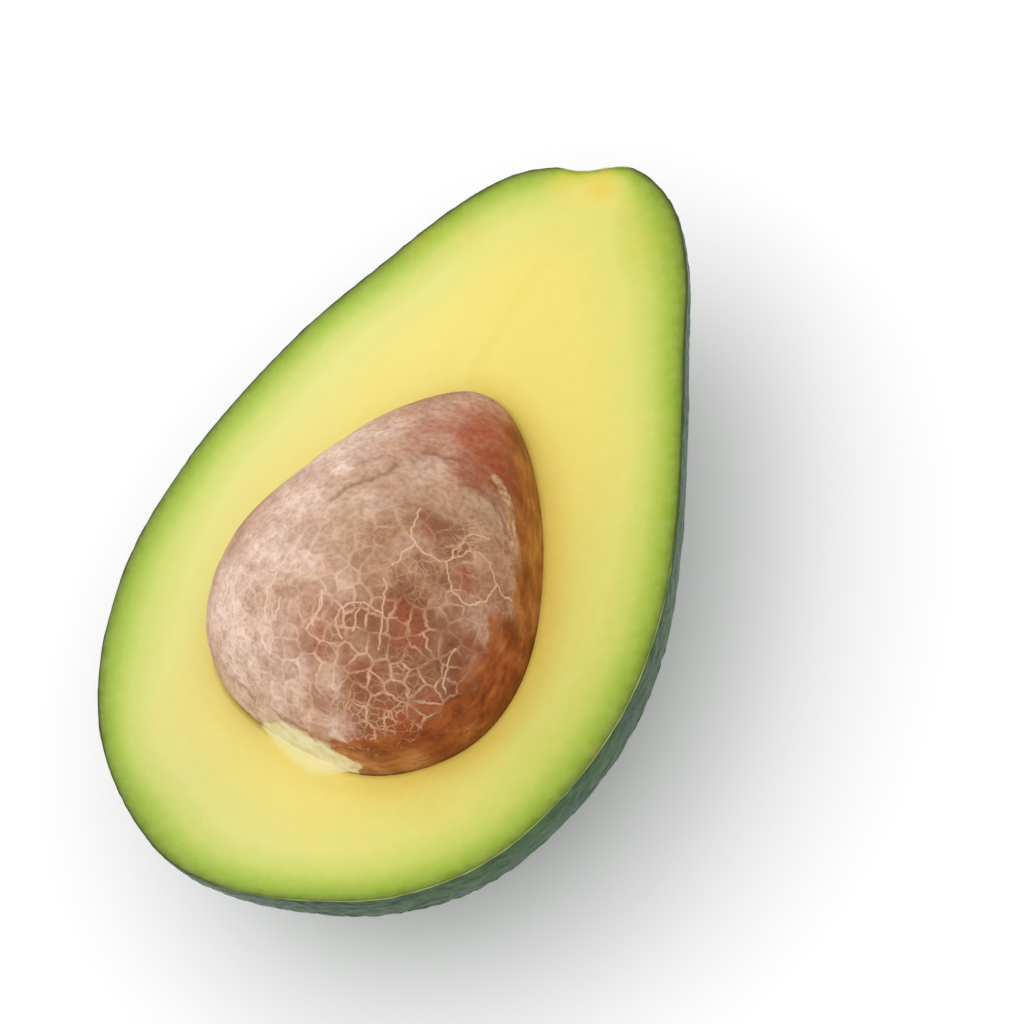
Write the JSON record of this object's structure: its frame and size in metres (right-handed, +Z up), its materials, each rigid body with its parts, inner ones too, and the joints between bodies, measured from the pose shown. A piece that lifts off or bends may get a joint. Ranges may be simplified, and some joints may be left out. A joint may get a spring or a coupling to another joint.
{
  "type": "avocado half with seed",
  "caption": "Ripe avocado cut in half lengthwise, lying on its rounded back with the cut face up and its brown seed still in the yellow-green flesh.",
  "frame": {"origin": "middle of the small flat spot on the belly that the half rests on", "axes": "+Z up, out of the cut face; +Y along the fruit towards the stem end; +X to the right when the stem end points away"},
  "size_m": [0.0711, 0.1081, 0.0499],
  "materials": {
    "skin": "pebbled dark green peel with a soft waxy shine",
    "flesh": "moist pale yellow flesh that turns green at the rim",
    "seed": "brown papery seed coat with a pale net of veins"
  },
  "bodies": {
    "root": {"skin": "skin", "flesh": "flesh", "seed": "seed"}
  },
  "joints": []
}
